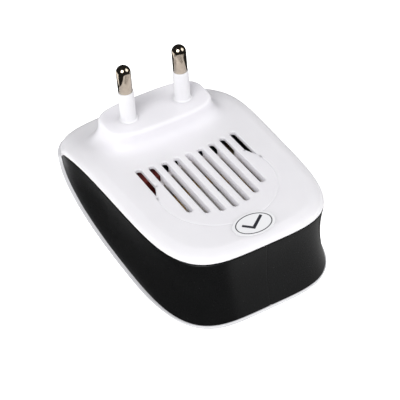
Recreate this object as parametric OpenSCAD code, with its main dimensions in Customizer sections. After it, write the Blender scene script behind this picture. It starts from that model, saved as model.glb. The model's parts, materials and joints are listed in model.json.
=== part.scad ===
// Plug-in ultrasonic pest repeller: a wedge-shaped housing of a rear cover
// with two plug pins, a dark side band and a domed front cover.
// The body is drawn with its flat rear face at z = 0 and its pins along +Z,
// then tilted so that the front cover rests on the plane z = 0.

/* [Body] */
// Half of the body's width at the middle of its length
half_width = 27.7; // [26:0.1:30]
// Distance from the vent centre to the thick end of the rear cover
thick_end = 27.4; // [26:0.1:29]
// Distance from the vent centre to the end beside the plug
plug_end = 60.4; // [59.4:0.2:61]
// How square the thick end's outline is, 2 being an ellipse
thick_squareness = 4.15; // [3.5:0.05:5]
// How square the plug end's outline is
plug_squareness = 5.9; // [5.5:0.1:6.3]
// How far the rear face falls away at the plug end
deck_drop = 7.8; // [7:0.1:8.5]
// Wall thickness of the covers
wall = 2; // [1.6:0.1:2.4]
// Depth of the rear cover's edge at its sides
rear_edge = 2.5; // [2:0.1:3]
// Depth of the side band's lower edge at the thick end
band_depth = 25.7; // [24:0.1:26]
// How far the side band is drawn in at half its height
band_waist = 1.1; // [0.8:0.1:1.3]
// How far the front cover stands out past the band along the sides
side_proud = 0.9; // [0.6:0.1:1]
// Tilt of the rear face when the body lies on its front
tilt = 8.3; // [6:0.1:9]
// Depth of the front face below the vent centre
front_depth = 27.4; // [27:0.1:29]

/* [Plug] */
// Distance between the two pin axes
pin_spacing = 18.6; // [18:0.1:19]
// Diameter of the metal pins
pin_d = 4.4; // [4:0.1:4.8]
// Diameter of the insulating sleeves
sleeve_d = 4.8; // [4.6:0.05:5]
// Length of the pins above the plug face
pin_length = 19; // [18:0.5:19.5]
// Length of the insulating sleeves above the plug face
sleeve_length = 10; // [9:0.5:11]
// Distance from the vent centre to the pin axes
pin_y = 36.15; // [35:0.05:37]
// Width of the plug boss
boss_w = 35.3; // [34:0.1:36]
// Length of the plug boss along the body
boss_l = 17.6; // [16:0.1:18]
// Height of the plug boss above the rear face
boss_h = 5.3; // [4:0.1:6]

/* [Vents] */
// Number of vent slots
slot_count = 9; // [7:2:9]
// Distance between neighbouring slots
slot_pitch = 4; // [3.9:0.05:4.1]
// Width of each slot
slot_w = 1.9; // [1.6:0.1:2.1]
// Radius of the ring around the vents and of the speaker holder
ring_r = 17.6; // [17:0.1:18]

/* [Hidden] */
$fn = 48;
steps = 108;
gap = 0.1;
center_y = 12;
// The body grows wider from its thick end, then slightly narrower beside the plug
taper = 0.0012;
narrowing = 1;
narrow_y = 27;
// The rear face falls away past deck_y, and more so towards its corners
deck_y = 20;
crown = 0.27;
// Rounded edge round the rear face
edge_base = 3.6;
corner_round = 1.5;
side_bevel = 34;
bevel_y = 20;
bevel_run = 30;
// Lower edge of the rear cover, and tip of the side band
plug_edge = 11.8;
edge_y = 11.4;
edge_bow = 3.96;
tip_step = 10;
tip_cut = 0.3;
tip_r = 1.2;
tip_run = 12;
tip_y = center_y + (plug_end - center_y) * pow(sin(tip_step * 360 / steps), 2 / plug_squareness);
// Lower edge of the side band
rim_start = thick_end + 1.6;
rim_bow = 3.17;
rim_fall = 0.9;
band_flare = 0.34;
band_t = 1.8;
flare_run = 40;
thick_proud = 0.1;
proud_y = -24;
proud_run = 20;
// How far the dome draws in from its rim to the flat front
side_draw = 0.36;
end_draw = 0.32;
slope = tan(tilt);
boss_y = pin_y + 0.65;
boss_foot = 4.2;
boss_squareness = 3.4;
boss_skirt = 2.2;
core_r = 1.6;
carrier = [29, 9, 3.9];
carrier_back = 5;
// Arcs that the ends of the vent slots follow
vent_arc_r = 17;
vent_arc_y = 5.95;
outer_low = 5.5;
vent_top = 17.65;
vent_bow = 0.0057;
vent_depth = 2.8;
thin_wall = 1.3;
label_y = -20.2;
label_r = [6.5, 4.6];
label_t = 0.12;
screw_head_d = 5.6;
screw_d = 2.8;
board_screw_at = [17.5, 37.5];
board_z = -14.2;
board_t = 1.6;
holder_t = 1.6;
holder_r = ring_r + 0.3 - holder_t;
holder_base = 22;
case_r = 14.6;
case_z = -8;
case_t = 1.2;
disc_t = 0.3;
ceramic_r = 9.5;
lift = front_depth * cos(tilt);
grille_y = -front_depth * sin(tilt);
grille_r = 14.5;
thick_reach = (thick_end + band_flare + thick_proud) * cos(tilt) + (band_depth + gap) * sin(tilt);
plug_reach = (plug_end + side_proud) * cos(tilt) - (plug_edge + gap) * sin(tilt);
shift_y = (plug_reach - thick_reach) / 2;
lens_y = 30;
lens_r = 3;

// Signed power that rounds a circle into a squarish outline
function squared(v, squareness) = sign(v) * pow(abs(v), 2 / squareness);

function clamp(v) = min(1, max(0, v));

function point_at(p, z) = [p[0], p[1], z];

function ring_angle(i) = i * 360 / steps;

// Point of the outline at an angle, moved inward by inset
function outline(a, inset) =
    let(at_plug = sin(a) > 0,
        n = at_plug ? plug_squareness : thick_squareness,
        b = at_plug ? plug_end - center_y : thick_end + center_y,
        y = (b - inset) * squared(sin(a), n),
        w = half_width * (1 + taper * y) - narrowing * pow(clamp((center_y + y - narrow_y) / 30), 2))
    [(w - inset) * squared(cos(a), n), center_y + y];

// Height of the rear face: flat round the vents, then falling away
function deck_z(p) =
    -deck_drop * pow(clamp((p[1] - deck_y) / (plug_end - deck_y)), 2)
    * (1 + crown * pow(p[0] / half_width, 2));

// Opening of the side band's tip, which fades along the body
function tip_open(y) = tip_r / 2 * clamp((tip_y - y) / tip_r) * clamp(1 - (tip_y - y) / tip_run);

// Depth of the rear cover's lower edge along the body
function rear_edge_z(y) =
    let(t = clamp((y - edge_y) / (tip_y - edge_y)))
    tip_open(y) - rear_edge - (plug_edge - gap - rear_edge) * pow(t, edge_bow);

// Depth of the front cover's rim along the body
function rim_z(y) =
    let(t = clamp((y + rim_start) / (tip_y + rim_start)))
    -tip_open(y) - plug_edge - (band_depth - plug_edge) * pow(1 - pow(t, rim_bow), rim_fall);

// Plane of the flat front face
function front_z(y) = -front_depth + slope * y;

// Width of the rounded edge round the rear face
function edge_w(y) = edge_base + corner_round * pow(clamp((y - deck_y) / (plug_end - deck_y)), 2);

// How far the band's outer face stands out at fraction u of its height
function flare(u, y) =
    clamp((tip_y + 8 - y) / flare_run) * (band_flare * u * u - 4 * band_waist * u * (1 - u));

// How far the front cover's rim stands out past the band
function proud(y) = thick_proud + (side_proud - thick_proud) * clamp((y - proud_y) / proud_run);

// Ring of points round the body at fraction t of the rear edge's rounding
function rear_ring(t, inset, rise) = [for (i = [0:steps - 1])
    let(a = ring_angle(i),
        p = outline(a, 0),
        t0 = side_bevel * (1 - clamp((p[1] - bevel_y) / bevel_run)),
        g = t0 + t * (90 - t0),
        q = outline(a, inset + edge_w(p[1]) * (1 - sin(g)) / (1 - sin(t0))),
        f = 1 - cos(g) / cos(t0))
    point_at(q, rear_edge_z(p[1]) * f + (deck_z(q) + rise) * (1 - f))];

// Ring on the rear face: k runs from its edge to where the face is flat
function deck_ring(k, inset, rise) =
    let(edge = [for (i = [0:steps - 1])
            let(a = ring_angle(i))
            outline(a, edge_w(outline(a, 0)[1]) + inset + 0.3 * k)],
        reach = max([for (p = edge) p[1]]),
        shrink = (deck_y - center_y) / (reach - center_y))
    [for (p = edge)
        let(y = p[1] < center_y ? p[1] : center_y + (p[1] - center_y) * (1 - k * (1 - shrink)))
        [p[0], y, rise + deck_z([p[0], y])]];

// Ring of the front cover's dome: t runs from the rim to the flat front
function front_ring(t, inset, rise) = [for (i = [0:steps - 1])
    let(a = ring_angle(i),
        p = outline(a, 0),
        grow = -flare(1, p[1]) - proud(p[1]),
        s = 1 - cos(t * 90),
        q = outline(a, grow + inset),
        x = q[0] * (1 - side_draw * s),
        y = center_y + (q[1] - center_y) * (1 - end_draw * s),
        z0 = rim_z(p[1]),
        z1 = front_z(y) + rise)
    [x, y, (z0 - gap) * (1 - sin(t * 90)) + z1 * sin(t * 90)]];

// Faces that close ring k of n points: one flat face, or a strip of triangles
function flat_cap(n, k) = [[for (i = [0:n - 1]) k * n + i]];
function strip_cap(n, k) = [for (i = [0:n / 2 - 2])
    each [[k * n + i, k * n + i + 1, k * n + n - 1 - i],
          [k * n + i + 1, k * n + n - 2 - i, k * n + n - 1 - i]]];
function flipped(faces) = [for (f = faces) [for (i = [len(f) - 1:-1:0]) f[i]]];

// Closed solid through a stack of rings with the same number of points
module skin(rings, strips = false) {
    n = len(rings[0]);
    m = len(rings);
    polyhedron(
        points = [for (r = rings) each r],
        faces = concat(
            strips ? strip_cap(n, 0) : flat_cap(n, 0),
            [for (k = [0:m - 2], i = [0:n - 1])
                let(j = (i + 1) % n)
                each [[k * n + i, (k + 1) * n + i, (k + 1) * n + j],
                      [k * n + i, (k + 1) * n + j, k * n + j]]],
            flipped(strips ? strip_cap(n, m - 1) : flat_cap(n, m - 1))),
        convexity = 6);
}

// Bar with round ends along Y, cut through the rear face
module vent_slot(x, y0, y1) {
    r = slot_w / 2;
    translate([x, 0, -vent_depth - 1])
        linear_extrude(vent_depth + 2)
            union() {
                translate([-r, y0 + r])
                    square([slot_w, y1 - y0 - slot_w]);
                translate([0, y0 + r])
                    circle(r);
                translate([0, y1 - r])
                    circle(r);
            }
}

// Row of slots whose lower ends follow an arc, the outer ones cut off by the holder's ring
module vents() {
    half = (slot_count - 1) / 2;
    for (i = [-half:half]) {
        x = i * slot_pitch;
        low = abs(x) < 0.9 * vent_arc_r ? vent_arc_y - sqrt(pow(vent_arc_r, 2) - x * x) : outer_low;
        difference() {
            vent_slot(x, low, vent_top + vent_bow * x * x);
            if (low == outer_low)
                translate([0, 0, -vent_depth - 2])
                    cylinder(r = ring_r + 0.3, h = vent_depth + 4, $fn = 96);
        }
    }
}

// Thicker round part of the rear wall, which gives its ribs their depth
module vent_pad() {
    translate([0, 0, -vent_depth])
        cylinder(r = ring_r + 0.3, h = vent_depth - wall / 2, $fn = 96);
}

// Shallow pocket behind the rear wall outside the round part, round the slots' upper ends
module vent_pocket() {
    half_x = slot_count * slot_pitch / 2 + 0.3;
    low_y = outer_low - 0.5;
    translate([0, 0, -wall - 1])
        linear_extrude(wall + 1 - thin_wall)
            difference() {
                translate([-half_x, low_y])
                    square([2 * half_x, vent_top + 2.8 - low_y]);
                circle(ring_r + 0.3, $fn = 96);
            }
}

// Ring of the plug boss's outline, grown by o, at height z
function boss_ring(o, z) = [for (i = [0:steps - 1])
    let(a = ring_angle(i),
        x = (boss_w / 2 + o) * squared(cos(a), boss_squareness),
        y = boss_y + (boss_l / 2 + o) * squared(sin(a), boss_squareness))
    [x, y, z + deck_z([x, y]) * clamp(1 - z / boss_foot)]];

// Raised plug face with a hollow foot and a rounded rim
module boss() {
    rim = boss_h - boss_foot;
    skin(concat(
        [boss_ring(boss_foot, -boss_skirt)],
        [for (g = [0:22.5:90]) boss_ring(boss_foot * (1 - sin(g)), boss_foot * (1 - cos(g)))],
        [for (g = [30:30:90]) boss_ring(-rim * (1 - cos(g)), boss_foot + rim * sin(g))]), true);
}

module pin_places() {
    for (s = [-1, 1])
        translate([s * pin_spacing / 2, pin_y, 0])
            children();
}

// Body's own frame to the frame in which it rests on its front
module rest() {
    translate([0, -shift_y, lift])
        rotate([-tilt, 0, 0])
            children();
}

module rear_cover() {
    color("whitesmoke")
        rest()
            difference() {
                union() {
                    skin(concat(
                        [for (k = [3:-1:1]) deck_ring(k / 3, wall, -wall)],
                        [for (k = [0:3]) rear_ring(k / 3, wall, -wall)],
                        [for (k = [5:-1:0]) rear_ring(k / 5, 0, 0)],
                        [for (k = [1:4]) deck_ring(k / 4, 0, 0)]));
                    boss();
                    vent_pad();
                }
                vents();
                vent_pocket();
                pin_places()
                    translate([0, 0, -3])
                        cylinder(d = sleeve_d + 0.1, h = boss_h + 4);
                translate([-carrier[0] / 2 - 0.5, pin_y - carrier_back - 0.5, -6])
                    cube([carrier[0] + 1, carrier[1] + 1, 9]);
                translate([0, label_y, -wall - 1])
                    cylinder(d = screw_d + 0.6, h = wall + 2);
                translate([0, label_y, -wall / 2])
                    cylinder(d = screw_head_d + 0.6, h = wall);
            }
}

// Cross-section of the side band at one angle round the body
function band_section(i) =
    let(a = ring_angle(i),
        y = outline(a, 0)[1],
        z0 = rear_edge_z(y) - gap,
        z1 = rim_z(y))
    concat(
        [for (u = [0:0.2:1]) point_at(outline(a, -flare(u, y)), z0 + (z1 - z0) * u)],
        [for (u = [1:-0.2:0]) point_at(outline(a, band_t - flare(u, y)), z0 + (z1 - z0) * u)]);

module side_band() {
    color("#26282b")
        rest()
            skin(concat(
                [band_section(tip_step - tip_cut)],
                [for (i = [tip_step - 1:-1:1 - steps / 2 - tip_step]) band_section(i)],
                [band_section(tip_cut - steps / 2 - tip_step)]), true);
}

// Row frame, with the flat front face on z = 0 and y measured as on the body
module on_front() {
    translate([0, -shift_y, 0])
        children();
}

module front_cover() {
    color("white")
        difference() {
            rest()
                skin(concat(
                    [for (k = [0:5]) front_ring(1 - k / 5, wall, wall)],
                    [for (k = [0:7]) front_ring(k / 7, 0, 0)]));
            on_front() {
                translate([0, grille_y, -1])
                    cylinder(r = grille_r - 1.5, h = 6);
                translate([0, grille_y, -1])
                    cylinder(r = grille_r + gap, h = 2.2);
                translate([0, lens_y + grille_y, -1])
                    cylinder(r = lens_r + gap, h = 6);
            }
        }
}

// Round grille set flush into the front, with arcs of slots
module front_grille() {
    color("gainsboro")
        on_front()
            translate([0, grille_y, 0.2])
                difference() {
                    cylinder(r = grille_r, h = 1);
                    for (r = [4, 7.5, 11], a = [0:90:359])
                        rotate([0, 0, a])
                            arc_slot(r, 62);
                }
}

// Curved slot through the grille
module arc_slot(r, sweep) {
    translate([0, 0, -1])
        rotate_extrude(angle = sweep)
            translate([r - 0.7, 0])
                square([1.4, 3]);
}

// Clear lens over the indicator, with a flange behind the front cover
module light_lens() {
    color("powderblue")
        on_front()
            translate([0, lens_y + grille_y, 0.2]) {
                cylinder(r = lens_r, h = 2.6);
                translate([0, 0, wall])
                    cylinder(r = lens_r + 1, h = 1);
            }
}

// Plug pin with a round tip; its thinner core runs down through the sleeve
module plug_pin(side) {
    r = pin_d / 2;
    root = -6;
    top = boss_h + pin_length;
    shoulder = boss_h + sleeve_length;
    color("silver")
        rest()
            translate([side * pin_spacing / 2, pin_y, 0])
                rotate_extrude()
                    difference() {
                        union() {
                            translate([0, root])
                                square([core_r, shoulder - root + 1]);
                            translate([0, shoulder])
                                square([r, top - r - shoulder]);
                            translate([0, top - r])
                                circle(r);
                        }
                        translate([-2 * r, root - 1])
                            square([2 * r, top - root + 2]);
                    }
}

module pin_left() {
    plug_pin(-1);
}

module pin_right() {
    plug_pin(1);
}

// Insulating sleeve round the root of a pin
module pin_sleeve(side) {
    bottom = -1;
    color("whitesmoke")
        rest()
            translate([side * pin_spacing / 2, pin_y, bottom])
                difference() {
                    cylinder(d = sleeve_d, h = boss_h + sleeve_length - bottom);
                    translate([0, 0, -1])
                        cylinder(r = core_r + 0.01, h = boss_h + sleeve_length - bottom + 2);
                }
}

module pin_sleeve_left() {
    pin_sleeve(-1);
}

module pin_sleeve_right() {
    pin_sleeve(1);
}

// Block behind the plug face that clamps both pins
module pin_carrier() {
    color("ivory")
        rest()
            difference() {
                union() {
                    translate([-carrier[0] / 2, pin_y - carrier_back, -5])
                        cube(carrier);
                    translate([-carrier[0] / 2, pin_y - carrier_back, carrier[2] - 5])
                        cube([carrier[0], 1.2, carrier[2]]);
                }
                pin_places()
                    translate([0, 0, -6])
                        cylinder(r = core_r + 0.01, h = 8);
            }
}

// Sprung strip that presses on a pin's root and ends in a solder tag
module terminal(side) {
    color("goldenrod")
        rest()
            translate([side * pin_spacing / 2, pin_y, 0]) {
                translate([-2.5, -3, -6.5])
                    cube([5, 6, 0.5]);
                translate([-1, -3, -9])
                    cube([2, 0.5, 2.5]);
            }
}

module terminal_left() {
    terminal(-1);
}

module terminal_right() {
    terminal(1);
}

// Eight-sided wire through a list of points, none of its stretches along Z
module wire(points, d) {
    n = len(points) - 1;
    skin([for (i = [0:n])
        let(v = points[min(i + 1, n)] - points[max(i - 1, 0)],
            side = cross(v, [0, 0, 1]) / norm(cross(v, [0, 0, 1])),
            up = cross(side, v) / norm(v))
        [for (a = [0:45:315]) points[i] + d / 2 * (cos(a) * side + sin(a) * up)]], true);
}

// Insulated leads from the solder tags to the board
module supply_leads() {
    color("firebrick")
        rest()
            for (s = [-1, 1])
                wire([[s * 9.3, 32.6, -8.3], [s * 10.5, 31.4, -9], [s * 12.5, 30, -10.2],
                      [s * 14.5, 28.6, -11.4], [s * 15.8, 27.6, board_z + board_t + 0.3]], 1.4);
}

// Brown board beside the speaker holder, on the plug side
module circuit_board() {
    color("peru")
        rest()
            translate([0, 0, board_z])
                difference() {
                    translate([-20.5, 9, 0])
                        cube([41, 32, board_t]);
                    translate([0, 0, -1])
                        cylinder(r = holder_r + holder_t + 0.6, h = board_t + 2);
                    for (s = [-1, 1])
                        translate([s * board_screw_at[0], board_screw_at[1], -1])
                            cylinder(d = 3, h = board_t + 2);
                }
}

// Places a component on the board's face towards the vents
module on_board(x, y) {
    rest()
        translate([x, y, board_z + board_t])
            children();
}

module film_capacitor() {
    color("darkred")
        rest()
            translate([-20.5, 16.5, board_z + board_t])
                cube([11, 5.7, 9.4]);
}

module electrolytic_capacitor() {
    color("midnightblue")
        on_board(4.8, 25.2) {
            cylinder(d = 8, h = 6);
            cylinder(d = 7.4, h = 6.6);
        }
}

// Rectifier bridge of four diodes lying on the board
module rectifier_diodes() {
    color("dimgray")
        for (i = [0:3])
            on_board(-8 + 3.4 * i, 30.5)
                translate([0, 0, 1.4])
                    rotate([-90, 0, 0])
                        cylinder(d = 2.6, h = 5);
}

module fuse_resistor() {
    color("seagreen")
        on_board(-17, 24)
            translate([0, 0, 1.8])
                rotate([-90, 0, 0])
                    cylinder(d = 3.4, h = 9);
}

module small_resistors() {
    color("tan")
        for (i = [0:4])
            on_board(9.5 + 2.6 * i, 17.5 + 0.8 * i)
                translate([0, 0, 1.1])
                    rotate([-90, 0, 0])
                        cylinder(d = 2, h = 5.4);
}

module control_chip() {
    color("#1c1c1e")
        on_board(-4.2, 20.4)
            difference() {
                translate([-4.8, -0.5, 0.6])
                    cube([9.6, 6.4, 3.3]);
                translate([-4.8, 2.7, 3.4])
                    cylinder(d = 1.6, h = 2);
            }
}

module driver_transistors() {
    color("#1c1c1e")
        for (x = [12.4, 18])
            on_board(x, 32.5)
                intersection() {
                    translate([0, 0, 1.2])
                        cylinder(d = 4.8, h = 4.6);
                    translate([-2.4, -1.4, 0])
                        cube([4.8, 3.8, 6]);
                }
}

// Bobbin-wound coil that steps up the transducer's voltage
module step_up_coil() {
    color("darkslategray")
        on_board(14, 26.6) {
            cylinder(d = 7, h = 1);
            cylinder(d = 4.6, h = 5.4);
            translate([0, 0, 4.6])
                cylinder(d = 7, h = 1);
        }
}

// Ring wall that locates the transducer between the covers
module speaker_holder() {
    height = holder_base - vent_depth - 0.2;
    color("white")
        rest()
            translate([0, 0, -holder_base])
                difference() {
                    cylinder(r = holder_r + holder_t, h = height);
                    translate([0, 0, -1])
                        cylinder(r = holder_r, h = height + 2);
                }
}

// Cup of the ultrasonic transducer, open towards the front
module transducer_case() {
    height = holder_base + case_z;
    lip = 0.6;
    color("#2b2b2b")
        rest()
            translate([0, 0, -holder_base])
                difference() {
                    union() {
                        cylinder(r = case_r, h = height);
                        translate([0, 0, 4])
                            cylinder(r = holder_r, h = 2);
                    }
                    translate([0, 0, -1])
                        cylinder(r = case_r - case_t, h = height - lip);
                    translate([0, 0, -1])
                        cylinder(r = case_r - case_t - 1.8, h = height + 2);
                }
}

// Brass plate whose vibration makes the sound
module transducer_disc() {
    color("goldenrod")
        rest()
            translate([0, 0, case_z])
                cylinder(r = case_r - 0.4, h = disc_t);
}

module piezo_ceramic() {
    color("silver")
        rest()
            translate([0, 0, case_z + disc_t])
                cylinder(r = ceramic_r, h = disc_t);
}

module speaker_leads() {
    color("black")
        rest() {
            wire([[3, 5, case_z + 1.1], [4, 8, case_z + 1.7], [5.2, 12, case_z + 1.7], [6, 15, case_z + 1.2]], 0.9);
            wire([[-3, 12, case_z + 0.8], [-3.8, 13.6, case_z + 1.3], [-4.6, 15.2, case_z + 1.2]], 0.9);
        }
}

module indicator_led() {
    color("aqua")
        rest()
            translate([0, lens_y, board_z - 6]) {
                cylinder(d = 5.8, h = 1);
                cylinder(d = 5, h = 6);
            }
}

// Screw that closes the covers, hidden by the label
module cover_screw() {
    color("silver")
        rest()
            translate([0, label_y, 0])
                difference() {
                    union() {
                        translate([0, 0, -0.95])
                            cylinder(d = screw_head_d, h = 0.9);
                        translate([0, 0, -14])
                            cylinder(d = screw_d, h = 13.2);
                    }
                    for (a = [0, 90])
                        rotate([0, 0, a])
                            translate([-1.6, -0.3, -0.6])
                                cube([3.2, 0.6, 1]);
                }
}

// Small screws that hold the board down
module board_screws() {
    color("silver")
        rest()
            for (s = [-1, 1])
                translate([s * board_screw_at[0], board_screw_at[1], 0]) {
                    translate([0, 0, board_z - 3])
                        cylinder(d = 2.6, h = 5);
                    translate([0, 0, board_z + board_t])
                        cylinder(d = 5, h = 1.4);
                }
}

// Oval paper label
module inspection_label() {
    color("white")
        rest()
            translate([0, label_y, 0])
                linear_extrude(label_t)
                    polygon([for (a = [0:7.5:359]) [label_r[0] * cos(a), label_r[1] * sin(a)]]);
}

rear_cover();
front_cover();
side_band();
front_grille();
light_lens();
pin_sleeve_left();
pin_sleeve_right();
pin_left();
pin_right();
pin_carrier();
terminal_left();
terminal_right();
supply_leads();
circuit_board();
film_capacitor();
electrolytic_capacitor();
rectifier_diodes();
fuse_resistor();
small_resistors();
control_chip();
driver_transistors();
step_up_coil();
speaker_holder();
transducer_case();
transducer_disc();
piezo_ceramic();
speaker_leads();
indicator_led();
cover_screw();
board_screws();
inspection_label();
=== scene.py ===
"""Looks of the plug-in pest repeller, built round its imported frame.

The housing is worked out in the body's own frame, in millimetres: the flat rear
face is z = 0, the vents' centre is the origin and the pins point along +Z.
"""

import json
import math

import bmesh
import bpy
import numpy as np
from mathutils import Matrix, Vector
from mathutils.geometry import delaunay_2d_cdt


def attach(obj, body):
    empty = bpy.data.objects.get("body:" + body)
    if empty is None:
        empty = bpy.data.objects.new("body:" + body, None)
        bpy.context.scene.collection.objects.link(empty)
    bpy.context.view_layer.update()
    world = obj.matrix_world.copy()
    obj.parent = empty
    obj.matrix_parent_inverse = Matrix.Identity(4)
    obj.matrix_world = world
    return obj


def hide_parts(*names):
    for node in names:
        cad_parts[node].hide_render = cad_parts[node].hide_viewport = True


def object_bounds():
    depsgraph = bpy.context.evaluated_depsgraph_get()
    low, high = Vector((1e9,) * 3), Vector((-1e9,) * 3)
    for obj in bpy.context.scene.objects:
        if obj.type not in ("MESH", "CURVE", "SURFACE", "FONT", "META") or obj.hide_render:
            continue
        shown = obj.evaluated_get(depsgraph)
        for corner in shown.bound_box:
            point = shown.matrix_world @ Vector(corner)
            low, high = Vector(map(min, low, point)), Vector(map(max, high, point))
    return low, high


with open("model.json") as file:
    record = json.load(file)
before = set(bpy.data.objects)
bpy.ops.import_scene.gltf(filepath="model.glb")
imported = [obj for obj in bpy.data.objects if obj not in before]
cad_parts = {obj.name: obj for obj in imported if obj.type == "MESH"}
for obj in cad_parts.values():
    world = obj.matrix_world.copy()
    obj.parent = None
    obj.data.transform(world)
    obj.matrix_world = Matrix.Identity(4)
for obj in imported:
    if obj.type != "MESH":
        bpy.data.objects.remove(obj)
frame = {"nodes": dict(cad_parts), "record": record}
cad_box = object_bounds()
scene = bpy.context.scene

MM = 0.001

# Housing, as in the part
HALF_WIDTH = 27.7
THICK_END = 27.4
PLUG_END = 60.4
CENTER_Y = 12.0
THICK_SQUARENESS = 4.15
PLUG_SQUARENESS = 5.9
TAPER = 0.0012
NARROWING = 1.0
NARROW_Y = 27.0
NARROW_RUN = 30.0
DECK_Y = 20.0
DECK_DROP = 7.8
CROWN = 0.27
REAR_EDGE = 2.5
PLUG_EDGE = 11.8
EDGE_Y = 11.4
EDGE_BOW = 3.96
EDGE_BASE = 3.6
CORNER_ROUND = 1.5
SIDE_BEVEL = math.radians(34)
BEVEL_Y = 20.0
BEVEL_RUN = 30.0
UNDER = 0.3
TIP_ANGLE = math.radians(100 / 3)
TIP_R = 1.2
TIP_RUN = 12.0
TIP_STEP = 8.0
BAND_DEPTH = 25.7
BAND_FLARE = 0.34
FLARE_RUN = 40.0
BAND_WAIST = 1.1
BAND_T = 1.8
RIM_START = THICK_END + 1.6
RIM_BOW = 3.17
RIM_FALL = 0.9
FRONT_DEPTH = 27.4
SIDE_PROUD = 0.9
THICK_PROUD = 0.1
PROUD_Y = -24.0
PROUD_RUN = 20.0
SIDE_DRAW = 0.36
END_DRAW = 0.32
WALL = 2.0
GAP = 0.1

# Plug, vents, label, grille and lens
PIN_SPACING = 18.6
PIN_Y = 36.15
PIN_R = 2.2
PIN_TOP = 24.3
CORE_R = 1.6
SLEEVE_R = 2.45
SLEEVE_TOP = 15.3
BOSS_Y = 36.8
BOSS_W = 35.3
BOSS_L = 17.6
BOSS_H = 5.3
BOSS_FOOT = 4.2
BOSS_SQUARENESS = 3.4
OUTERMOST = 4
SLOT_PITCH = 4.0
SLOT_R = 0.95
SLOT_FILLET = 0.3
VENT_ARC_R = 17.0
VENT_ARC_Y = 5.95
VENT_TOP = 17.65
VENT_BOW = 0.0057
OUTER_LOW = 5.5
OUTER_END = 7.45
OUTER_SLANT = 2.16
VENT_DEPTH = 2.8
THIN_WALL = 1.3
PAD_R = 17.9
RING_R = 17.6
RING_START = math.radians(166.5)
RING_STOP = math.radians(373.5)
RING_DEPTH = 0.12
LABEL_Y = -20.2
LABEL_RX = 6.5
LABEL_RY = 4.6
LABEL_T = 0.12
LABEL_SOFT = 0.04
PRINT_LINE = 0.3
# Corners of the printed tick, from the label's middle
TICK = [(-3.6, 0.5), (-3.0, 1.15), (-0.9, -0.95), (3.3, 2.35), (3.8, 1.65), (-0.9, -2.2)]
GRILLE_R = 14.5
GRILLE_ARCS = (4, 7.5, 11)
GRILLE_SPAN = math.radians(62)
GRILLE_SLOT = 0.7
LENS_Y = 30.0
LENS_R = 3.0

# Film capacitor: two corners and its legs
FILM_LOW = (-20.5, 16.5, -12.4)
FILM_HIGH = (-9.5, 22.2, -3.2)
FILM_LEG_X = (-19.2, -11)
FILM_LEG_Y = 19.3

# Camera, in the body's frame: degrees, and millimetres
CAMERA_TURN = (-26.82, 40.282, -4.564)
CAMERA_DISTANCE = 401.883
CAMERA_SIDE = 4.896
CAMERA_RISE = 4.368
CAMERA_LENS = 126.1

# Cards that lighten the left of the pins and the right of the band:
# extent in mm along x and y, and strength
CARDS = {
    "pin_card": ((-140, -33), (42, 130), 1.4),
    "band_card": ((-6, 90), (-100, -30), 0.38),
}

# Points round the housing and round smaller circles
ROUND = 480
SMALL_ROUND = 96

# The body's frame in the row, from the plug face's mount
plug_face = next(m for m in frame["record"]["mounts"] if m["name"] == "plug_face")
TILT = math.atan2(plug_face["axis"][1], plug_face["axis"][2])
TURN = np.array(Matrix.Rotation(-TILT, 3, "X"))
ORIGIN = np.array(plug_face["pos_m"]) / MM - TURN @ np.array([0, PIN_Y, BOSS_H])


def to_row(points):
    """Body frame to row frame, both in millimetres."""
    return np.asarray(points, float) @ TURN.T + ORIGIN


# ---------------------------------------------------------------- outlines


def clamp(v):
    """Value kept between 0 and 1."""
    return np.clip(v, 0, 1)


def squared(v, squareness):
    """Sine or cosine bent towards a square, 2 keeping it round."""
    return np.sign(v) * np.abs(v) ** (2 / squareness)


def outline(a, inset):
    """Points of the body's outline at angles a, moved inward by inset."""
    at_plug = np.sin(a) > 0
    n = np.where(at_plug, PLUG_SQUARENESS, THICK_SQUARENESS)
    b = np.where(at_plug, PLUG_END - CENTER_Y, THICK_END + CENTER_Y)
    y = (b - inset) * squared(np.sin(a), n)
    w = HALF_WIDTH * (1 + TAPER * y) - NARROWING * clamp((CENTER_Y + y - NARROW_Y) / NARROW_RUN) ** 2
    return (w - inset) * squared(np.cos(a), n), CENTER_Y + y


def deck_z(x, y):
    """Rear face: flat, then falling away beside the plug and to its corners."""
    fall = clamp((y - DECK_Y) / (PLUG_END - DECK_Y)) ** 2
    return -DECK_DROP * fall * (1 + CROWN * (x / HALF_WIDTH) ** 2)


TIP_Y = float(outline(np.array([TIP_ANGLE]), 0)[1][0])


def tip_open(y):
    """Opening of the band's rounded tip, which fades along the body."""
    t = clamp((TIP_Y - y) / TIP_R)
    return TIP_R / 2 * np.sqrt(t * (2 - t)) * clamp(1 - (TIP_Y - y) / TIP_RUN)


def rear_edge_z(y):
    """Depth of the rear cover's lower edge along the body."""
    fall = clamp((y - EDGE_Y) / (TIP_Y - EDGE_Y)) ** EDGE_BOW
    return tip_open(y) - REAR_EDGE - (PLUG_EDGE - GAP - REAR_EDGE) * fall


def rim_z(y):
    """Depth of the front cover's rim along the body."""
    t = clamp((y + RIM_START) / (TIP_Y + RIM_START))
    return -tip_open(y) - PLUG_EDGE - (BAND_DEPTH - PLUG_EDGE) * (1 - t**RIM_BOW) ** RIM_FALL


def front_z(y):
    """Depth of the flat front, which lies level in the row."""
    return -FRONT_DEPTH + math.tan(TILT) * y


def edge_w(y):
    """Width of the rounded edge round the rear face."""
    return EDGE_BASE + CORNER_ROUND * clamp((y - DECK_Y) / (PLUG_END - DECK_Y)) ** 2


def flare(u, y):
    """How far the band's outer face stands out at fraction u of its height."""
    fade = clamp((TIP_Y + TIP_STEP - y) / FLARE_RUN)
    return fade * (BAND_FLARE * u * u - 4 * BAND_WAIST * u * (1 - u))


def proud(y):
    """How far the front cover's rim stands out past the band."""
    return THICK_PROUD + (SIDE_PROUD - THICK_PROUD) * clamp((y - PROUD_Y) / PROUD_RUN)


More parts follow.
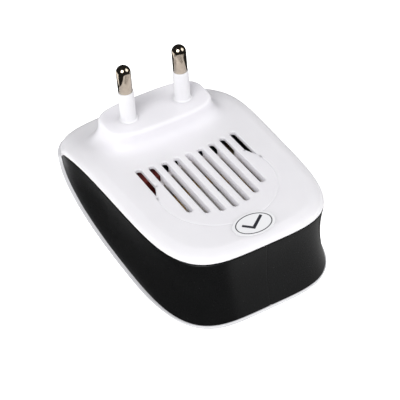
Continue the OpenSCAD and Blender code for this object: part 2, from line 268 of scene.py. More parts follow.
def even_angles(curve, count, start=-math.pi / 2, turn=2 * math.pi, closed=True):
    """Angles that space points evenly along a squarish curve of the angle."""
    quarter = math.pi / 2
    u = np.linspace(0, 1, 1501)
    eased = u**4 / (u**4 + (1 - u) ** 4)
    first = math.floor(start / quarter)
    last = math.ceil((start + turn) / quarter)
    a = np.concatenate([(k + eased[:-1]) * quarter for k in range(first, last)])
    a = np.concatenate([[start], a[(a > start) & (a < start + turn)], [start + turn]])
    x, y = curve(a)
    run = np.concatenate([[0], np.cumsum(np.hypot(np.diff(x), np.diff(y)))])
    ends = count if closed else count - 1
    return np.interp(np.arange(count) * run[-1] / ends, run, a)


def ring(x, y, z):
    """Points of a loop from their coordinates."""
    return np.stack([x, y, np.broadcast_to(z, np.shape(x))], 1)


# ------------------------------------------------------------ mesh building


def strip(stack):
    """Points and quads through a stack of closed rings."""
    count = len(stack[0])
    faces = []
    for k in range(len(stack) - 1):
        for i in range(count):
            j = (i + 1) % count
            faces.append((k * count + i, k * count + j, (k + 1) * count + j, (k + 1) * count + i))
    return np.concatenate(stack), faces


def inside(points, loop):
    """Which points lie inside a closed loop."""
    x, y = points[:, 0][:, None], points[:, 1][:, None]
    x0, y0 = loop[:, 0][None], loop[:, 1][None]
    x1, y1 = np.roll(loop[:, 0], -1)[None], np.roll(loop[:, 1], -1)[None]
    rise = np.where(y1 == y0, 1e-12, y1 - y0)
    crossed = ((y0 > y) != (y1 > y)) & (x < (x1 - x0) * (y - y0) / rise + x0)
    return crossed.sum(1) % 2 == 1


def fill(outer, holes, height, pitch=0):
    """Triangles between an outer loop and holes, lifted to height(x, y)."""
    loops = [np.asarray(p)[:, :2] for p in [outer, *holes]]
    points, edges = [], []
    for loop in loops:
        base = len(points)
        points += [Vector(p) for p in loop]
        edges += [(base + i, base + (i + 1) % len(loop)) for i in range(len(loop))]
    if pitch:
        low, high = loops[0].min(0), loops[0].max(0)
        gx, gy = np.meshgrid(*[np.arange(low[k], high[k], pitch) + 0.011 for k in (0, 1)])
        spots = np.stack([gx.ravel(), gy.ravel()], 1)
        keep = inside(spots, loops[0])
        for hole in loops[1:]:
            keep &= ~inside(spots, hole)
        spots = spots[keep]
        every = np.concatenate(loops)
        near = np.min(np.hypot(*(spots[:, None] - every[None]).transpose(2, 0, 1)), 1)
        points += [Vector(p) for p in spots[near > 0.45 * pitch]]
    made = delaunay_2d_cdt(points, edges, [], 0, 1e-6)
    flat = np.array([v[:] for v in made[0]])
    given = np.concatenate([np.asarray(p) for p in [outer, *holes]])
    tris = np.array(made[2])
    middle = flat[tris].mean(1)
    keep = inside(middle, loops[0])
    for hole in loops[1:]:
        keep &= ~inside(middle, hole)
    z = np.array(height(flat[:, 0], flat[:, 1]), float)
    for k, sources in enumerate(made[3]):
        if sources and sources[0] < len(given):
            z[k] = given[sources[0], 2]
    return ring(flat[:, 0], flat[:, 1], z), [tuple(t) for t in tris[keep]]


def build(name, parts, material, nodes=(), sharp=40, in_row=False, weld=1e-4):
    """One piece from parts of points and faces, welded, shaded and placed."""
    points, faces = [], []
    base = 0
    for part_points, part_faces in parts:
        points.append(np.asarray(part_points, float))
        faces += [tuple(base + i for i in f) for f in part_faces]
        base += len(part_points)
    points = np.concatenate(points)
    if not in_row:
        points = to_row(points)
    bm = bmesh.new()
    verts = [bm.verts.new(p) for p in points]
    for f in faces:
        if len(set(f)) > 2:
            bm.faces.new([verts[i] for i in f])
    bmesh.ops.remove_doubles(bm, verts=bm.verts, dist=weld)
    bmesh.ops.dissolve_degenerate(bm, edges=bm.edges, dist=weld)
    bmesh.ops.recalc_face_normals(bm, faces=bm.faces)
    limit = math.radians(sharp)
    for f in bm.faces:
        f.smooth = True
    for e in bm.edges:
        e.smooth = e.calc_face_angle(0) < limit
    open_edges = sum(1 for e in bm.edges if len(e.link_faces) != 2)
    print(f"{name}: {len(bm.faces)} faces, {open_edges} open or shared edges")
    bmesh.ops.scale(bm, vec=(MM, MM, MM), verts=bm.verts)
    mesh = bpy.data.meshes.new(name)
    bm.to_mesh(mesh)
    bm.free()
    mesh.materials.append(material)
    obj = bpy.data.objects.new(name, mesh)
    scene.collection.objects.link(obj)
    if nodes:
        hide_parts(*nodes)
    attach(obj, "root")
    return obj


def lathe(profile, at, count=64):
    """Solid of revolution about an axis along Z through at, from (r, z) pairs."""
    a = np.arange(count) * 2 * math.pi / count
    stack = [ring(at[0] + r * np.cos(a), at[1] + r * np.sin(a), z) for r, z in profile]
    points, faces = strip(stack)
    last = (len(stack) - 1) * count
    faces.append(tuple(range(count)))
    faces.append(tuple(last + i for i in range(count)))
    return points, faces


def arc(r0, z0, radius, start, stop, count=6):
    """Profile points of a rounding about (r0, z0), angles in degrees from +r."""
    turns = [math.radians(start + (stop - start) * i / count) for i in range(count + 1)]
    return [(r0 + radius * math.cos(t), z0 + radius * math.sin(t)) for t in turns]


# ---------------------------------------------------------------- materials


def finish_of(name, light, dark, rough, patch=70, grain=2600, bump=0.05, metal=0.0, **extra):
    """Material whose colour drifts between two tones, with a fine grain."""
    made = bpy.data.materials.new(name)
    made.use_nodes = True
    nodes, links = made.node_tree.nodes, made.node_tree.links
    shader = nodes["Principled BSDF"]
    coords = nodes.new("ShaderNodeTexCoord")
    drift = nodes.new("ShaderNodeTexNoise")
    drift.inputs["Scale"].default_value = patch
    drift.inputs["Detail"].default_value = 4
    fine = nodes.new("ShaderNodeTexNoise")
    fine.inputs["Scale"].default_value = grain
    fine.inputs["Detail"].default_value = 3
    ramp = nodes.new("ShaderNodeValToRGB")
    ramp.color_ramp.elements[0].position = 0.3
    ramp.color_ramp.elements[0].color = (*dark, 1)
    ramp.color_ramp.elements[1].position = 0.7
    ramp.color_ramp.elements[1].color = (*light, 1)
    span = nodes.new("ShaderNodeMapRange")
    span.inputs["To Min"].default_value = rough[0]
    span.inputs["To Max"].default_value = rough[1]
    relief = nodes.new("ShaderNodeBump")
    relief.inputs["Strength"].default_value = bump
    relief.inputs["Distance"].default_value = 0.05 * MM
    links.new(coords.outputs["Object"], drift.inputs["Vector"])
    links.new(coords.outputs["Object"], fine.inputs["Vector"])
    links.new(drift.outputs["Fac"], ramp.inputs["Fac"])
    links.new(ramp.outputs["Color"], shader.inputs["Base Color"])
    links.new(fine.outputs["Fac"], span.inputs["Value"])
    links.new(span.outputs["Result"], shader.inputs["Roughness"])
    links.new(fine.outputs["Fac"], relief.inputs["Height"])
    links.new(relief.outputs["Normal"], shader.inputs["Normal"])
    shader.inputs["Metallic"].default_value = metal
    for key, value in extra.items():
        shader.inputs[key.replace("_", " ")].default_value = value
    return made


white = finish_of(
    "rear_white",
    (0.85, 0.838, 0.875),
    (0.825, 0.812, 0.85),
    (0.36, 0.46),
    Subsurface_Weight=0.6,
    Subsurface_Scale=0.003,
    Subsurface_Radius=(1, 1, 1),
)
# Painted shade: the front cover is the same white plastic as the rear cover, with its colour set
# darker so its steep rim strip reads as shaded
front_white_painted_shade = finish_of("front_white_painted_shade", (0.68, 0.68, 0.7), (0.65, 0.65, 0.67), (0.3, 0.4))
black = finish_of(
    "band_black", (0.0065, 0.0067, 0.0070), (0.0048, 0.0050, 0.0052), (0.24, 0.34), bump=0.08, IOR=1.3
)
sleeve_white = finish_of("sleeve_white", (0.84, 0.835, 0.86), (0.80, 0.795, 0.82), (0.3, 0.4))
nickel = finish_of(
    "nickel", (0.6, 0.52, 0.42), (0.54, 0.465, 0.37), (0.07, 0.14), patch=900, metal=1.0, bump=0.02
)
paper = finish_of("label_paper", (0.86, 0.86, 0.88), (0.82, 0.82, 0.84), (0.5, 0.6))
ink = finish_of("label_ink", (0.035, 0.035, 0.045), (0.02, 0.02, 0.028), (0.4, 0.5), patch=1500)
film_red = finish_of("film_red", (0.22, 0.03, 0.022), (0.13, 0.016, 0.014), (0.25, 0.4), patch=300)
holder_white = finish_of("holder_white", (0.74, 0.70, 0.70), (0.68, 0.63, 0.63), (0.4, 0.5))
brass = finish_of(
    "brass", (0.72, 0.50, 0.22), (0.58, 0.38, 0.15), (0.2, 0.35), patch=300, metal=1.0
)
ceramic = finish_of(
    "ceramic", (0.66, 0.64, 0.60), (0.55, 0.53, 0.50), (0.3, 0.5), patch=400, metal=0.6
)
case_black = finish_of("case_black", (0.022, 0.02, 0.02), (0.012, 0.011, 0.011), (0.4, 0.55))
board_brown = finish_of(
    "board_brown", (0.30, 0.16, 0.07), (0.20, 0.10, 0.04), (0.4, 0.6), patch=500
)
carrier_ivory = finish_of("carrier_ivory", (0.72, 0.68, 0.58), (0.66, 0.62, 0.52), (0.35, 0.5))
strip_brass = finish_of(
    "strip_brass", (0.66, 0.46, 0.2), (0.5, 0.34, 0.14), (0.25, 0.4), patch=400, metal=1.0
)
wire_red = finish_of("wire_red", (0.42, 0.03, 0.025), (0.32, 0.02, 0.018), (0.3, 0.45), patch=300)
wire_black = finish_of("wire_black", (0.02, 0.02, 0.02), (0.01, 0.01, 0.01), (0.3, 0.45), patch=300)
can_blue = finish_of("can_blue", (0.02, 0.03, 0.08), (0.012, 0.018, 0.05), (0.25, 0.4), patch=300)
diode_grey = finish_of(
    "diode_grey", (0.03, 0.03, 0.032), (0.018, 0.018, 0.02), (0.35, 0.5), patch=500
)
fuse_green = finish_of("fuse_green", (0.07, 0.2, 0.12), (0.045, 0.14, 0.08), (0.4, 0.55), patch=500)
resistor_tan = finish_of(
    "resistor_tan", (0.55, 0.42, 0.26), (0.45, 0.33, 0.2), (0.4, 0.55), patch=500
)
chip_black = finish_of(
    "chip_black", (0.016, 0.016, 0.018), (0.009, 0.009, 0.01), (0.45, 0.6), patch=500
)
coil_dark = finish_of("coil_dark", (0.03, 0.05, 0.05), (0.018, 0.03, 0.03), (0.35, 0.5), patch=500)
steel = finish_of(
    "steel", (0.55, 0.55, 0.56), (0.42, 0.42, 0.43), (0.22, 0.36), patch=600, metal=1.0
)
led_blue = finish_of("led_blue", (0.2, 0.42, 0.75), (0.14, 0.32, 0.62), (0.1, 0.2), patch=400)
lens_blue = finish_of(
    "lens_blue", (0.55, 0.72, 0.86), (0.45, 0.63, 0.8), (0.08, 0.16), patch=300, Coat_Weight=0.6
)
grille_grey = finish_of("grille_grey", (0.62, 0.62, 0.64), (0.56, 0.56, 0.58), (0.35, 0.48))


# --------------------------------------------------------------- rear cover


ANGLES = even_angles(lambda a: outline(a, 0), ROUND)


def rear_ring(t, inset=0.0, rise=0.0):
    """Ring of the rear edge's rounding: t is 0 at the face, 1 at the lower edge."""
    _, py = outline(ANGLES, 0)
    t0 = SIDE_BEVEL * (1 - clamp((py - BEVEL_Y) / BEVEL_RUN))
    g = t0 + t * (math.pi / 2 - t0)
    x, y = outline(ANGLES, inset + edge_w(py) * (1 - np.sin(g)) / (1 - np.sin(t0)))
    f = 1 - np.cos(g) / np.cos(t0)
    low = rear_edge_z(py) + (0 if inset else UNDER)
    return ring(x, y, low * f + (deck_z(x, y) + rise) * (1 - f))


def deck_ring(inset, z):
    """Ring on the rear face, inside its rounded edge."""
    _, py = outline(ANGLES, 0)
    x, y = outline(ANGLES, edge_w(py) + inset)
    return ring(x, y, z + deck_z(x, y))


def boss_outline(a):
    """Squarish outline of the plug boss about its middle."""
    x = BOSS_W / 2 * squared(np.cos(a), BOSS_SQUARENESS)
    return x, BOSS_L / 2 * squared(np.sin(a), BOSS_SQUARENESS)


BOSS_ANGLES = even_angles(boss_outline, 180)


def boss_ring(o, z):
    """Outline of the boss moved out by o, which meets the rear face at its foot."""
    x = (BOSS_W / 2 + o) * squared(np.cos(BOSS_ANGLES), BOSS_SQUARENESS)
    y = BOSS_Y + (BOSS_L / 2 + o) * squared(np.sin(BOSS_ANGLES), BOSS_SQUARENESS)
    return ring(x, y, z + deck_z(x, y) * clamp(1 - z / BOSS_FOOT))


def slot_ends(i):
    """Low and high end of vent slot i, counted from the middle one."""
    x = i * SLOT_PITCH
    low = OUTER_LOW if abs(i) == OUTERMOST else VENT_ARC_Y - math.sqrt(VENT_ARC_R**2 - x * x)
    return low, VENT_TOP + VENT_BOW * x * x


def slot_ring(i, grow, z):
    """Round-ended outline of vent slot i, grown by grow."""
    low, high = slot_ends(i)
    r = SLOT_R + grow
    a = np.linspace(0, math.pi, 13)
    top = np.stack([r * np.cos(a), high - SLOT_R + r * np.sin(a)], 1)
    bottom = np.stack([-r * np.cos(a), low + SLOT_R - r * np.sin(a)], 1)
    if abs(i) == OUTERMOST:
        across = r * np.linspace(-1, 1, 13)
        slanted = OUTER_END - OUTER_SLANT * across * np.sign(i)
        bottom = np.stack([across, slanted - math.hypot(1, OUTER_SLANT) * grow], 1)
    sides = []
    for side, begin, end in ((-1, top[-1, 1], bottom[0, 1]), (1, bottom[-1, 1], top[0, 1])):
        x = side * SLOT_R + i * SLOT_PITCH
        cross = math.sqrt(max(PAD_R**2 - x * x, 0))
        cross = min(max(cross, bottom[:, 1].max() + 0.5), high - SLOT_R - 0.3)
        stops = np.array([cross - 1, cross - 0.02, cross + 0.02, cross + 0.15])
        y = stops if begin < end else stops[::-1]
        sides.append(np.stack([np.full(4, side * r), y], 1))
    both = np.concatenate([top, sides[0], bottom, sides[1]])
    return ring(both[:, 0] + i * SLOT_PITCH, both[:, 1], z)


def slot_floor(i):
    """Lower outline of vent slot i, deep within the round pad and thin outside it."""
    loop = slot_ring(i, 0, -THIN_WALL)
    loop[np.hypot(loop[:, 0], loop[:, 1]) < PAD_R, 2] = -VENT_DEPTH
    return loop


def arc_ring(radius, half, start, stop, z, count=80):
    """Outline of a curved bar with round ends about the origin."""
    a = np.linspace(start, stop, count)
    cap = np.linspace(0, math.pi, 7)[1:-1]
    outer = (radius + half) * np.exp(1j * a)
    inner = (radius - half) * np.exp(1j * a[::-1])
    far = radius * np.exp(1j * stop) + half * np.exp(1j * (stop + cap))
    near = radius * np.exp(1j * start) + half * np.exp(1j * (start + math.pi + cap))
    every = np.concatenate([outer, far, inner, near])
    return ring(every.real, every.imag, z)


def rear_cover():
    """Rear cover with its rounded edge, vents, plug boss and embossed ring."""
    _, py = outline(ANGLES, 0)
    edge = [rear_ring(t) for t in np.linspace(1, 0.06, 14)]
    low = []
    for g in np.radians([90, 60, 30]):
        x, y = outline(ANGLES, UNDER * (1 - math.cos(g)))
        low.append(ring(x, y, rear_edge_z(py) + UNDER * (1 - math.sin(g))))
    crease = [deck_ring(0.05, -0.012), deck_ring(0.35, 0), deck_ring(0.8, 0)]
    inner = [rear_ring(t, WALL, -WALL) for t in np.linspace(0, 1, 8)]
    parts = [strip([*inner, *low, *edge, *crease])]

    turns = np.radians(np.arange(0, 91, 15))
    indices = range(-OUTERMOST, OUTERMOST + 1)
    mouths = [slot_ring(i, SLOT_FILLET + 0.22, 0) for i in indices]
    for i, mouth in zip(indices, mouths):
        stack = [mouth]
        for g in turns:
            grow, sink = SLOT_FILLET * (1 - math.sin(g)), SLOT_FILLET * (math.cos(g) - 1)
            stack.append(slot_ring(i, grow, sink))
        stack.append(slot_floor(i))
        parts.append(strip(stack))

    rim = BOSS_H - BOSS_FOOT
    stack = [boss_ring(BOSS_FOOT + 0.5, 0)]
    for g in np.radians(np.arange(0, 91, 7.5)):
        stack.append(boss_ring(BOSS_FOOT * (1 - math.sin(g)), BOSS_FOOT * (1 - math.cos(g))))
    for g in np.radians(np.arange(15, 91, 15)):
        stack.append(boss_ring(-rim * (1 - math.cos(g)), BOSS_FOOT + rim * math.sin(g)))
    stack.append(boss_ring(-rim - 0.4, BOSS_H))
    parts.append(strip(stack))
    parts.append(fill(stack[-1], [], lambda x, y: np.full_like(x, BOSS_H), 4))

    groove = []
    for half, depth in ((0.5, 0), (0.34, 0), (0.22, -0.05), (0.08, -RING_DEPTH)):
        groove.append(arc_ring(RING_R, half, RING_START, RING_STOP, depth))
    parts.append(strip(groove))
    parts.append(fill(groove[-1], [], lambda x, y: np.full_like(x, -RING_DEPTH)))

    holes = [*mouths, boss_ring(BOSS_FOOT + 0.5, 0), groove[0]]
    parts.append(fill(crease[-1], holes, deck_z, 1.2))
    bottoms = [slot_floor(i) for i in indices]
    parts.append(fill(inner[0], bottoms, lambda x, y: deck_z(x, y) - WALL))
    return build("rear_cover_shell", parts, white, ["rear_cover"], sharp=50)


# ---------------------------------------------------------------- side band


def side_band():
    """Hollow-faced band from tip to tip, with a mould line across its thick end."""
    turn = math.pi + 2 * TIP_ANGLE
    a = even_angles(lambda v: outline(v, 0), 380, -math.pi - TIP_ANGLE, turn, closed=False)
    fine = even_angles(lambda v: outline(v, 0), 4001, -math.pi - TIP_ANGLE, turn, closed=False)
    fine = fine[1500:2500]
    x, _ = outline(fine, 0)
    seam = [float(np.interp(v, x, fine)) for v in (-0.3, -0.15, 0, 0.15, 0.3)]
    a = np.unique(np.concatenate([a, seam]))
    px, py = outline(a, 0)
    top = rear_edge_z(py) - GAP - 0.25 * clamp((TIP_Y - py) / 2)
    bottom = np.minimum(rim_z(py), top - 0.02)
    height = top - bottom
    mould = 0.07 * np.exp(-((px / 0.16) ** 2)) * (py < 0)
    rows = []
    soft = np.minimum(0.4, height / 3)
    for g in np.radians([0, 30, 60]):
        z = top - soft * (1 - math.cos(g))
        rows.append(outline_row(a, py, soft * (1 - math.sin(g)) + mould, z, 0))
    for u in np.linspace(0, 1, 15):
        z = top - soft + (bottom + soft - (top - soft)) * u
        rows.append(outline_row(a, py, mould, z, (top - z) / height))
    for g in np.radians([60, 30, 0]):
        notch = 0.25 * np.exp(-(((px - 0.1) / 0.35) ** 2)) * (py < 0)
        z = bottom + soft * (1 - math.cos(g)) + notch
        rows.append(outline_row(a, py, soft * (1 - math.sin(g)) + mould, z, 1))
    thick = np.minimum(BAND_T, 0.3 + height)
    rows.append(outline_row(a, py, thick, bottom, 1))
    rows.append(outline_row(a, py, thick, top, 0))
    sections = np.stack(rows, 1)
    points, faces = strip(list(sections))
    count = len(rows)
    last = (len(a) - 1) * count
    faces.append(tuple(range(count)))
    faces.append(tuple(last + i for i in range(count)))
    return build("side_band_shell", [(points, faces)], black, ["side_band"], sharp=50)


def outline_row(a, py, inset, z, u):
    """Row of points round the band at fraction u of its height."""
    x, y = outline(a, inset - flare(u, py))
    return ring(x, y, z)


# -------------------------------------------------------------- front cover


def front_ring(t, inset, rise):
    """Ring of the front cover's dome: t runs from the rim to the flat front."""
    _, py = outline(ANGLES, 0)
    s = 1 - math.cos(t * math.pi / 2)
    x, y = outline(ANGLES, inset - flare(1, py) - proud(py))
    x = x * (1 - SIDE_DRAW * s)
    y = CENTER_Y + (y - CENTER_Y) * (1 - END_DRAW * s)
    up = math.sin(t * math.pi / 2)
    return ring(x, y, (rim_z(py) - GAP) * (1 - up) + (front_z(y) + rise) * up)


def circle(r, at_y, z):
    """Round ring on the middle line, in the row's frame."""
    a = np.arange(SMALL_ROUND) * 2 * math.pi / SMALL_ROUND
    return ring(r * np.cos(a), at_y + r * np.sin(a), z)


GRILLE_Y = ORIGIN[1] - FRONT_DEPTH * math.sin(TILT)
LENS_ROW_Y = GRILLE_Y + LENS_Y


def front_cover():
    """Domed front cover with round openings for the grille and the lens."""
    soft = 0.3
    rim = []
    for g in np.radians([0, 30, 60, 90]):
        row = front_ring(0, soft * (1 - math.sin(g)), 0)
        row[:, 2] -= soft * (1 - math.cos(g))
        rim.append(row)
    dome = [front_ring(t, 0, 0) for t in np.linspace(0.04, 1, 26)]
    inner = [front_ring(t, WALL, WALL) for t in np.linspace(1, 0, 12)]
    flat = to_row(dome[-1])
    stack = [to_row(r) for r in [*inner, *rim, *dome]]
    inner_top = stack[0]
    parts = [strip(stack)]
    holes, deep = [], []
    for r, y in ((GRILLE_R + 0.15, GRILLE_Y), (LENS_R + 0.12, LENS_ROW_Y)):
        steps = ((0.35, 0), (0.25, 0), (0.07, 0.07), (0, 0.25), (0, WALL))
        mouth = [circle(r + wider, y, z) for wider, z in steps]
        parts.append(strip(mouth))
        holes.append(mouth[0])
        deep.append(mouth[-1])
    parts.append(fill(flat, holes, lambda x, y: np.zeros_like(x), 5))
    ceiling = inner_top[:, 2].mean()
    parts.append(fill(inner_top, deep, lambda x, y: np.full_like(x, ceiling), 5))
    nodes = ["front_cover"]
    return build("front_cover_shell", parts, front_white_painted_shade, nodes, 50, True, 0.003)


def front_grille():
    """Flush round grille with arcs of slots in soft-edged steps."""
    low, high, soft = 0.2, 1.2, 0.18
    shift = np.array([0, GRILLE_Y, 0])
    holes_low, holes_high, parts = [], [], []
    for radius in GRILLE_ARCS:
        for k in range(4):
            start = k * math.pi / 2 + GRILLE_SLOT / radius
            stop = start + GRILLE_SPAN - 2 * GRILLE_SLOT / radius
            stack = [arc_ring(radius, GRILLE_SLOT + soft + 0.12, start, stop, low, 24)]
            for g in np.radians([0, 30, 60, 90]):
                half = GRILLE_SLOT + soft * (1 - math.sin(g))
                z = low + soft * (1 - math.cos(g))
                stack.append(arc_ring(radius, half, start, stop, z, 24))
            stack.append(arc_ring(radius, GRILLE_SLOT, start, stop, high, 24))
            parts.append(strip(stack))
            holes_low.append(stack[0])
            holes_high.append(stack[-1])
    rim = [circle(GRILLE_R, 0, high), circle(GRILLE_R, 0, low + 0.3)]
    for g in np.radians([30, 60, 90]):
        rim.append(circle(GRILLE_R - 0.3 * (1 - math.cos(g)), 0, low + 0.3 * (1 - math.sin(g))))
    rim.append(circle(GRILLE_R - 0.5, 0, low))
    parts.append(strip(rim))
    parts.append(fill(rim[-1], holes_low, lambda x, y: np.full_like(x, low)))
    parts.append(fill(rim[0], holes_high, lambda x, y: np.full_like(x, high)))
    moved = [(p + shift, f) for p, f in parts]
    return build("front_grille_disc", moved, grille_grey, ["front_grille"], 50, True)


def light_lens():
    """Domed lens with a flange behind the cover."""
    profile = [(0.4, 0.2)]
    for t in np.radians([20, 40, 60, 75]):
        profile.append((LENS_R * math.sin(t), 0.2 + 0.5 * (1 - math.cos(t))))
    profile += [(LENS_R, 0.8), (LENS_R, 2.2), (LENS_R + 1, 2.25), (LENS_R + 1, 3.2)]
    part = lathe(profile, (0, LENS_ROW_Y))
    return build("light_lens_dome", [part], lens_blue, ["light_lens"], 40, True)


# ---------------------------------------------------------------------- plug


def pins():
    """Metal pins with round tips, and their insulating sleeves."""
    for side, word in ((-1, "left"), (1, "right")):
        at = (side * PIN_SPACING / 2, PIN_Y)
        profile = [(CORE_R, -6.0), (CORE_R, SLEEVE_TOP - 0.2), (PIN_R - 0.12, SLEEVE_TOP)]
        profile += [(PIN_R, SLEEVE_TOP + 0.12)]
        profile += arc(0, PIN_TOP - PIN_R, PIN_R, 0, 84, 14)
        build("pin_metal_" + word, [lathe(profile, at)], nickel, ["pin_" + word], 60)
        foot = BOSS_H - 0.4
        profile = [(CORE_R, foot), (SLEEVE_R + 0.5, foot), (SLEEVE_R + 0.5, BOSS_H + 0.02)]
        profile += arc(SLEEVE_R + 0.6, BOSS_H + 0.62, 0.6, 262, 180, 6)
        profile += [(SLEEVE_R, SLEEVE_TOP - 0.35)]
        profile += arc(SLEEVE_R - 0.35, SLEEVE_TOP - 0.35, 0.35, 0, 90, 5)
        profile += [(CORE_R, SLEEVE_TOP)]
        nodes = ["pin_sleeve_" + word]
        build("sleeve_" + word, [lathe(profile, at)], sleeve_white, nodes, 45)


# --------------------------------------------------------------------- label


def oval(rx, ry, z):
    """Oval ring about the label's middle."""
    a = np.arange(SMALL_ROUND) * 2 * math.pi / SMALL_ROUND
    return ring(rx * np.cos(a), LABEL_Y + ry * np.sin(a), z)


def label():
    """Oval label, with a border line and a tick printed on it."""
    top = LABEL_T
    steps = ((0, -0.01), (0, top - LABEL_SOFT), (LABEL_SOFT, top), (0.2, top))
    rim = [oval(LABEL_RX - inset, LABEL_RY - inset, z) for inset, z in steps]
    parts = [strip(rim), fill(rim[-1], [], lambda x, y: np.full_like(x, top))]
    parts.append(fill(rim[0], [], lambda x, y: np.full_like(x, -0.01)))
    build("label_paper_oval", parts, paper, ["inspection_label"], 60)
    rx, ry = LABEL_RX - 0.95, LABEL_RY - 0.6
    low, high = top - 0.01, top + 0.012
    steps = ((0, low), (0, high), (PRINT_LINE, high), (PRINT_LINE, low), (0, low))
    border = strip([oval(rx - inset, ry - inset, z) for inset, z in steps])
    x, y = np.array(TICK).T
    stack = [ring(x, LABEL_Y + y, z) for z in (low, high)]
    mark = [strip(stack), fill(stack[0], [], lambda x, y: np.full_like(x, low))]
    mark.append(fill(stack[1], [], lambda x, y: np.full_like(x, high)))
    build("label_print", [border, *mark], ink, [], 30)


# -------------------------------------------------------------------- inside


def rounded_box(low, high, soft):
    """Box from low to high with soft edges."""
    bm = bmesh.new()
    bmesh.ops.create_cube(bm, size=1)
    low, high = np.array(low, float), np.array(high, float)
    for v in bm.verts:
        v.co = Vector((np.array(v.co) + 0.5) * (high - low) + low)
    bmesh.ops.bevel(bm, geom=bm.edges, offset=soft, segments=4, profile=0.5, affect="EDGES")
    bm.verts.ensure_lookup_table()
    points = np.array([v.co[:] for v in bm.verts])
    faces = [tuple(v.index for v in f.verts) for f in bm.faces]
    bm.free()
    return points, faces


def film_capacitor():
    """Red capacitor seen through the vents, with soft edges and two leg stumps."""
    body = rounded_box(FILM_LOW, FILM_HIGH, 0.8)
    leg = [(0.35, FILM_LOW[2] - 0.2), (0.35, FILM_LOW[2] + 0.4)]
    legs = [lathe(leg, (x, FILM_LEG_Y), 16) for x in FILM_LEG_X]
    build("film_capacitor_block", [body, *legs], film_red, ["film_capacitor"], 40)


NODE_FINISHES = {
    "pin_carrier": carrier_ivory,
    "terminal_left": strip_brass,
    "terminal_right": strip_brass,
    "supply_leads": wire_red,
    "circuit_board": board_brown,
    "electrolytic_capacitor": can_blue,
    "rectifier_diodes": diode_grey,
    "fuse_resistor": fuse_green,
    "small_resistors": resistor_tan,
    "control_chip": chip_black,
    "driver_transistors": chip_black,
    "step_up_coil": coil_dark,
    "speaker_holder": holder_white,
    "transducer_case": case_black,
    "transducer_disc": brass,
    "piezo_ceramic": ceramic,
    "speaker_leads": wire_black,
    "indicator_led": led_blue,
    "cover_screw": steel,
    "board_screws": steel,
}


def finish_nodes():
    """Give every node that no piece stands for its own material."""
    for name, material in NODE_FINISHES.items():
        obj = frame["nodes"][name]
        if not obj.material_slots:
            obj.data.materials.append(material)
        for place in obj.material_slots:
            place.material = material


rear_cover()
side_band()
front_cover()
front_grille()
light_lens()
pins()
label()
film_capacitor()
finish_nodes()


# --------------------------------------------------- floor, light and camera


def floor():
    """Pale floor, which mirror-like reflections don't see."""
    bm = bmesh.new()
    bmesh.ops.create_grid(bm, x_segments=8, y_segments=8, size=3)
    mesh = bpy.data.meshes.new("floor")
    bm.to_mesh(mesh)
    bm.free()
    made = bpy.data.materials.new("floor_white")
    made.use_nodes = True
    shader = made.node_tree.nodes["Principled BSDF"]
    shader.inputs["Base Color"].default_value = (0.9, 0.9, 0.9, 1)
    shader.inputs["Roughness"].default_value = 0.9
    shader.inputs["Specular IOR Level"].default_value = 0.0
    shader.inputs["Emission Color"].default_value = (1, 1, 1, 1)
    shader.inputs["Emission Strength"].default_value = 0.8
    mesh.materials.append(made)
    obj = bpy.data.objects.new("floor", mesh)
    obj.location.z = -0.2 * MM
    obj.visible_glossy = False
    scene.collection.objects.link(obj)


def only_reflected(obj):
    """Hide a stage object from everything but mirror-like reflections."""
    for kind in ("camera", "diffuse", "transmission", "volume_scatter", "shadow"):
        setattr(obj, "visible_" + kind, False)
    scene.collection.objects.link(obj)


def dark_room():
    """Black shell round the set that only mirror-like reflections can see."""
    bm = bmesh.new()
    bmesh.ops.create_uvsphere(bm, u_segments=32, v_segments=16, radius=2.0)
    mesh = bpy.data.meshes.new("dark_room")
    bm.to_mesh(mesh)
    bm.free()
    made = bpy.data.materials.new("room_black")
    made.use_nodes = True
    shader = made.node_tree.nodes["Principled BSDF"]
    shader.inputs["Base Color"].default_value = (0.02, 0.02, 0.02, 1)
    shader.inputs["Roughness"].default_value = 1.0
    mesh.materials.append(made)
    obj = bpy.data.objects.new("dark_room", mesh)
    only_reflected(obj)


def white_card(name, across, along, strength):
    """White card on the floor that only reflections can see."""
    (x0, x1), (y0, y1) = across, along
    corners = [(x0, y0), (x1, y0), (x1, y1), (x0, y1)]
    mesh = bpy.data.meshes.new(name)
    mesh.from_pydata([(x * MM, y * MM, 0) for x, y in corners], [], [(0, 1, 2, 3)])
    made = bpy.data.materials.new(name)
    made.use_nodes = True
    shader = made.node_tree.nodes["Principled BSDF"]
    shader.inputs["Base Color"].default_value = (0, 0, 0, 1)
    shader.inputs["Emission Color"].default_value = (1, 1, 1, 1)
    shader.inputs["Emission Strength"].default_value = strength
    mesh.materials.append(made)
    obj = bpy.data.objects.new(name, mesh)
    only_reflected(obj)


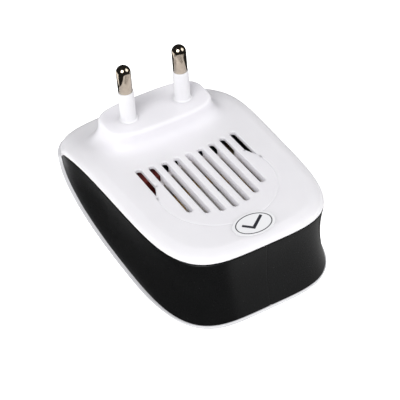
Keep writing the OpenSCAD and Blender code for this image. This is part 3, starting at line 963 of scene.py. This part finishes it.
def area_light(name, direction, distance, size, power):
    """Square soft light that looks at the middle of the object."""
    low, high = cad_box
    middle = (low + high) / 2
    data = bpy.data.lights.new(name, "AREA")
    data.size = size
    data.energy = power
    obj = bpy.data.objects.new(name, data)
    away = Vector(direction).normalized()
    obj.location = middle + away * distance
    obj.rotation_mode = "QUATERNION"
    obj.rotation_quaternion = away.to_track_quat("Z", "Y")
    scene.collection.objects.link(obj)


def light():
    """Pale world, a soft key light and a weaker light from the right."""
    world = bpy.data.worlds.new("studio")
    world.use_nodes = True
    world.node_tree.nodes["Background"].inputs["Color"].default_value = (1, 1, 1, 1)
    world.node_tree.nodes["Background"].inputs["Strength"].default_value = 0.4
    world.cycles.sampling_method = "NONE"
    scene.world = world
    area_light("key", (-0.85, -0.6, 1.3), 0.8, 0.5, 4.9)
    area_light("side", (1.0, -0.5, 0.9), 0.9, 0.6, 2.3)
    scene.view_settings.view_transform = "Standard"


def camera():
    """Camera at the photograph's angle, given in the body's own frame."""
    azimuth, elevation, roll = (math.radians(v) for v in CAMERA_TURN)
    right = np.array([math.cos(azimuth), math.sin(azimuth), 0])
    level = np.array([math.sin(azimuth), -math.cos(azimuth), 0])
    back = level * math.cos(elevation) + np.array([0, 0, math.sin(elevation)])
    up = np.cross(back, right)
    across = right * math.cos(roll) + up * math.sin(roll)
    upward = up * math.cos(roll) - right * math.sin(roll)
    axes = np.stack([across, upward, back])
    place = -axes.T @ np.array([CAMERA_SIDE, CAMERA_RISE, -CAMERA_DISTANCE])
    data = bpy.data.cameras.new("camera")
    data.sensor_width = 36
    data.lens = CAMERA_LENS
    data.clip_start = 0.01
    data.clip_end = 20
    obj = bpy.data.objects.new("camera", data)
    turned = (TURN @ axes.T).T
    pose = Matrix([[*turned[:, k], 0] for k in range(3)] + [[0, 0, 0, 1]])
    pose.translation = Vector(to_row(place) * MM)
    obj.matrix_world = pose
    scene.collection.objects.link(obj)
    scene.camera = obj


floor()
dark_room()
for card, (across, along, strength) in CARDS.items():
    white_card(card, across, along, strength)
light()
camera()
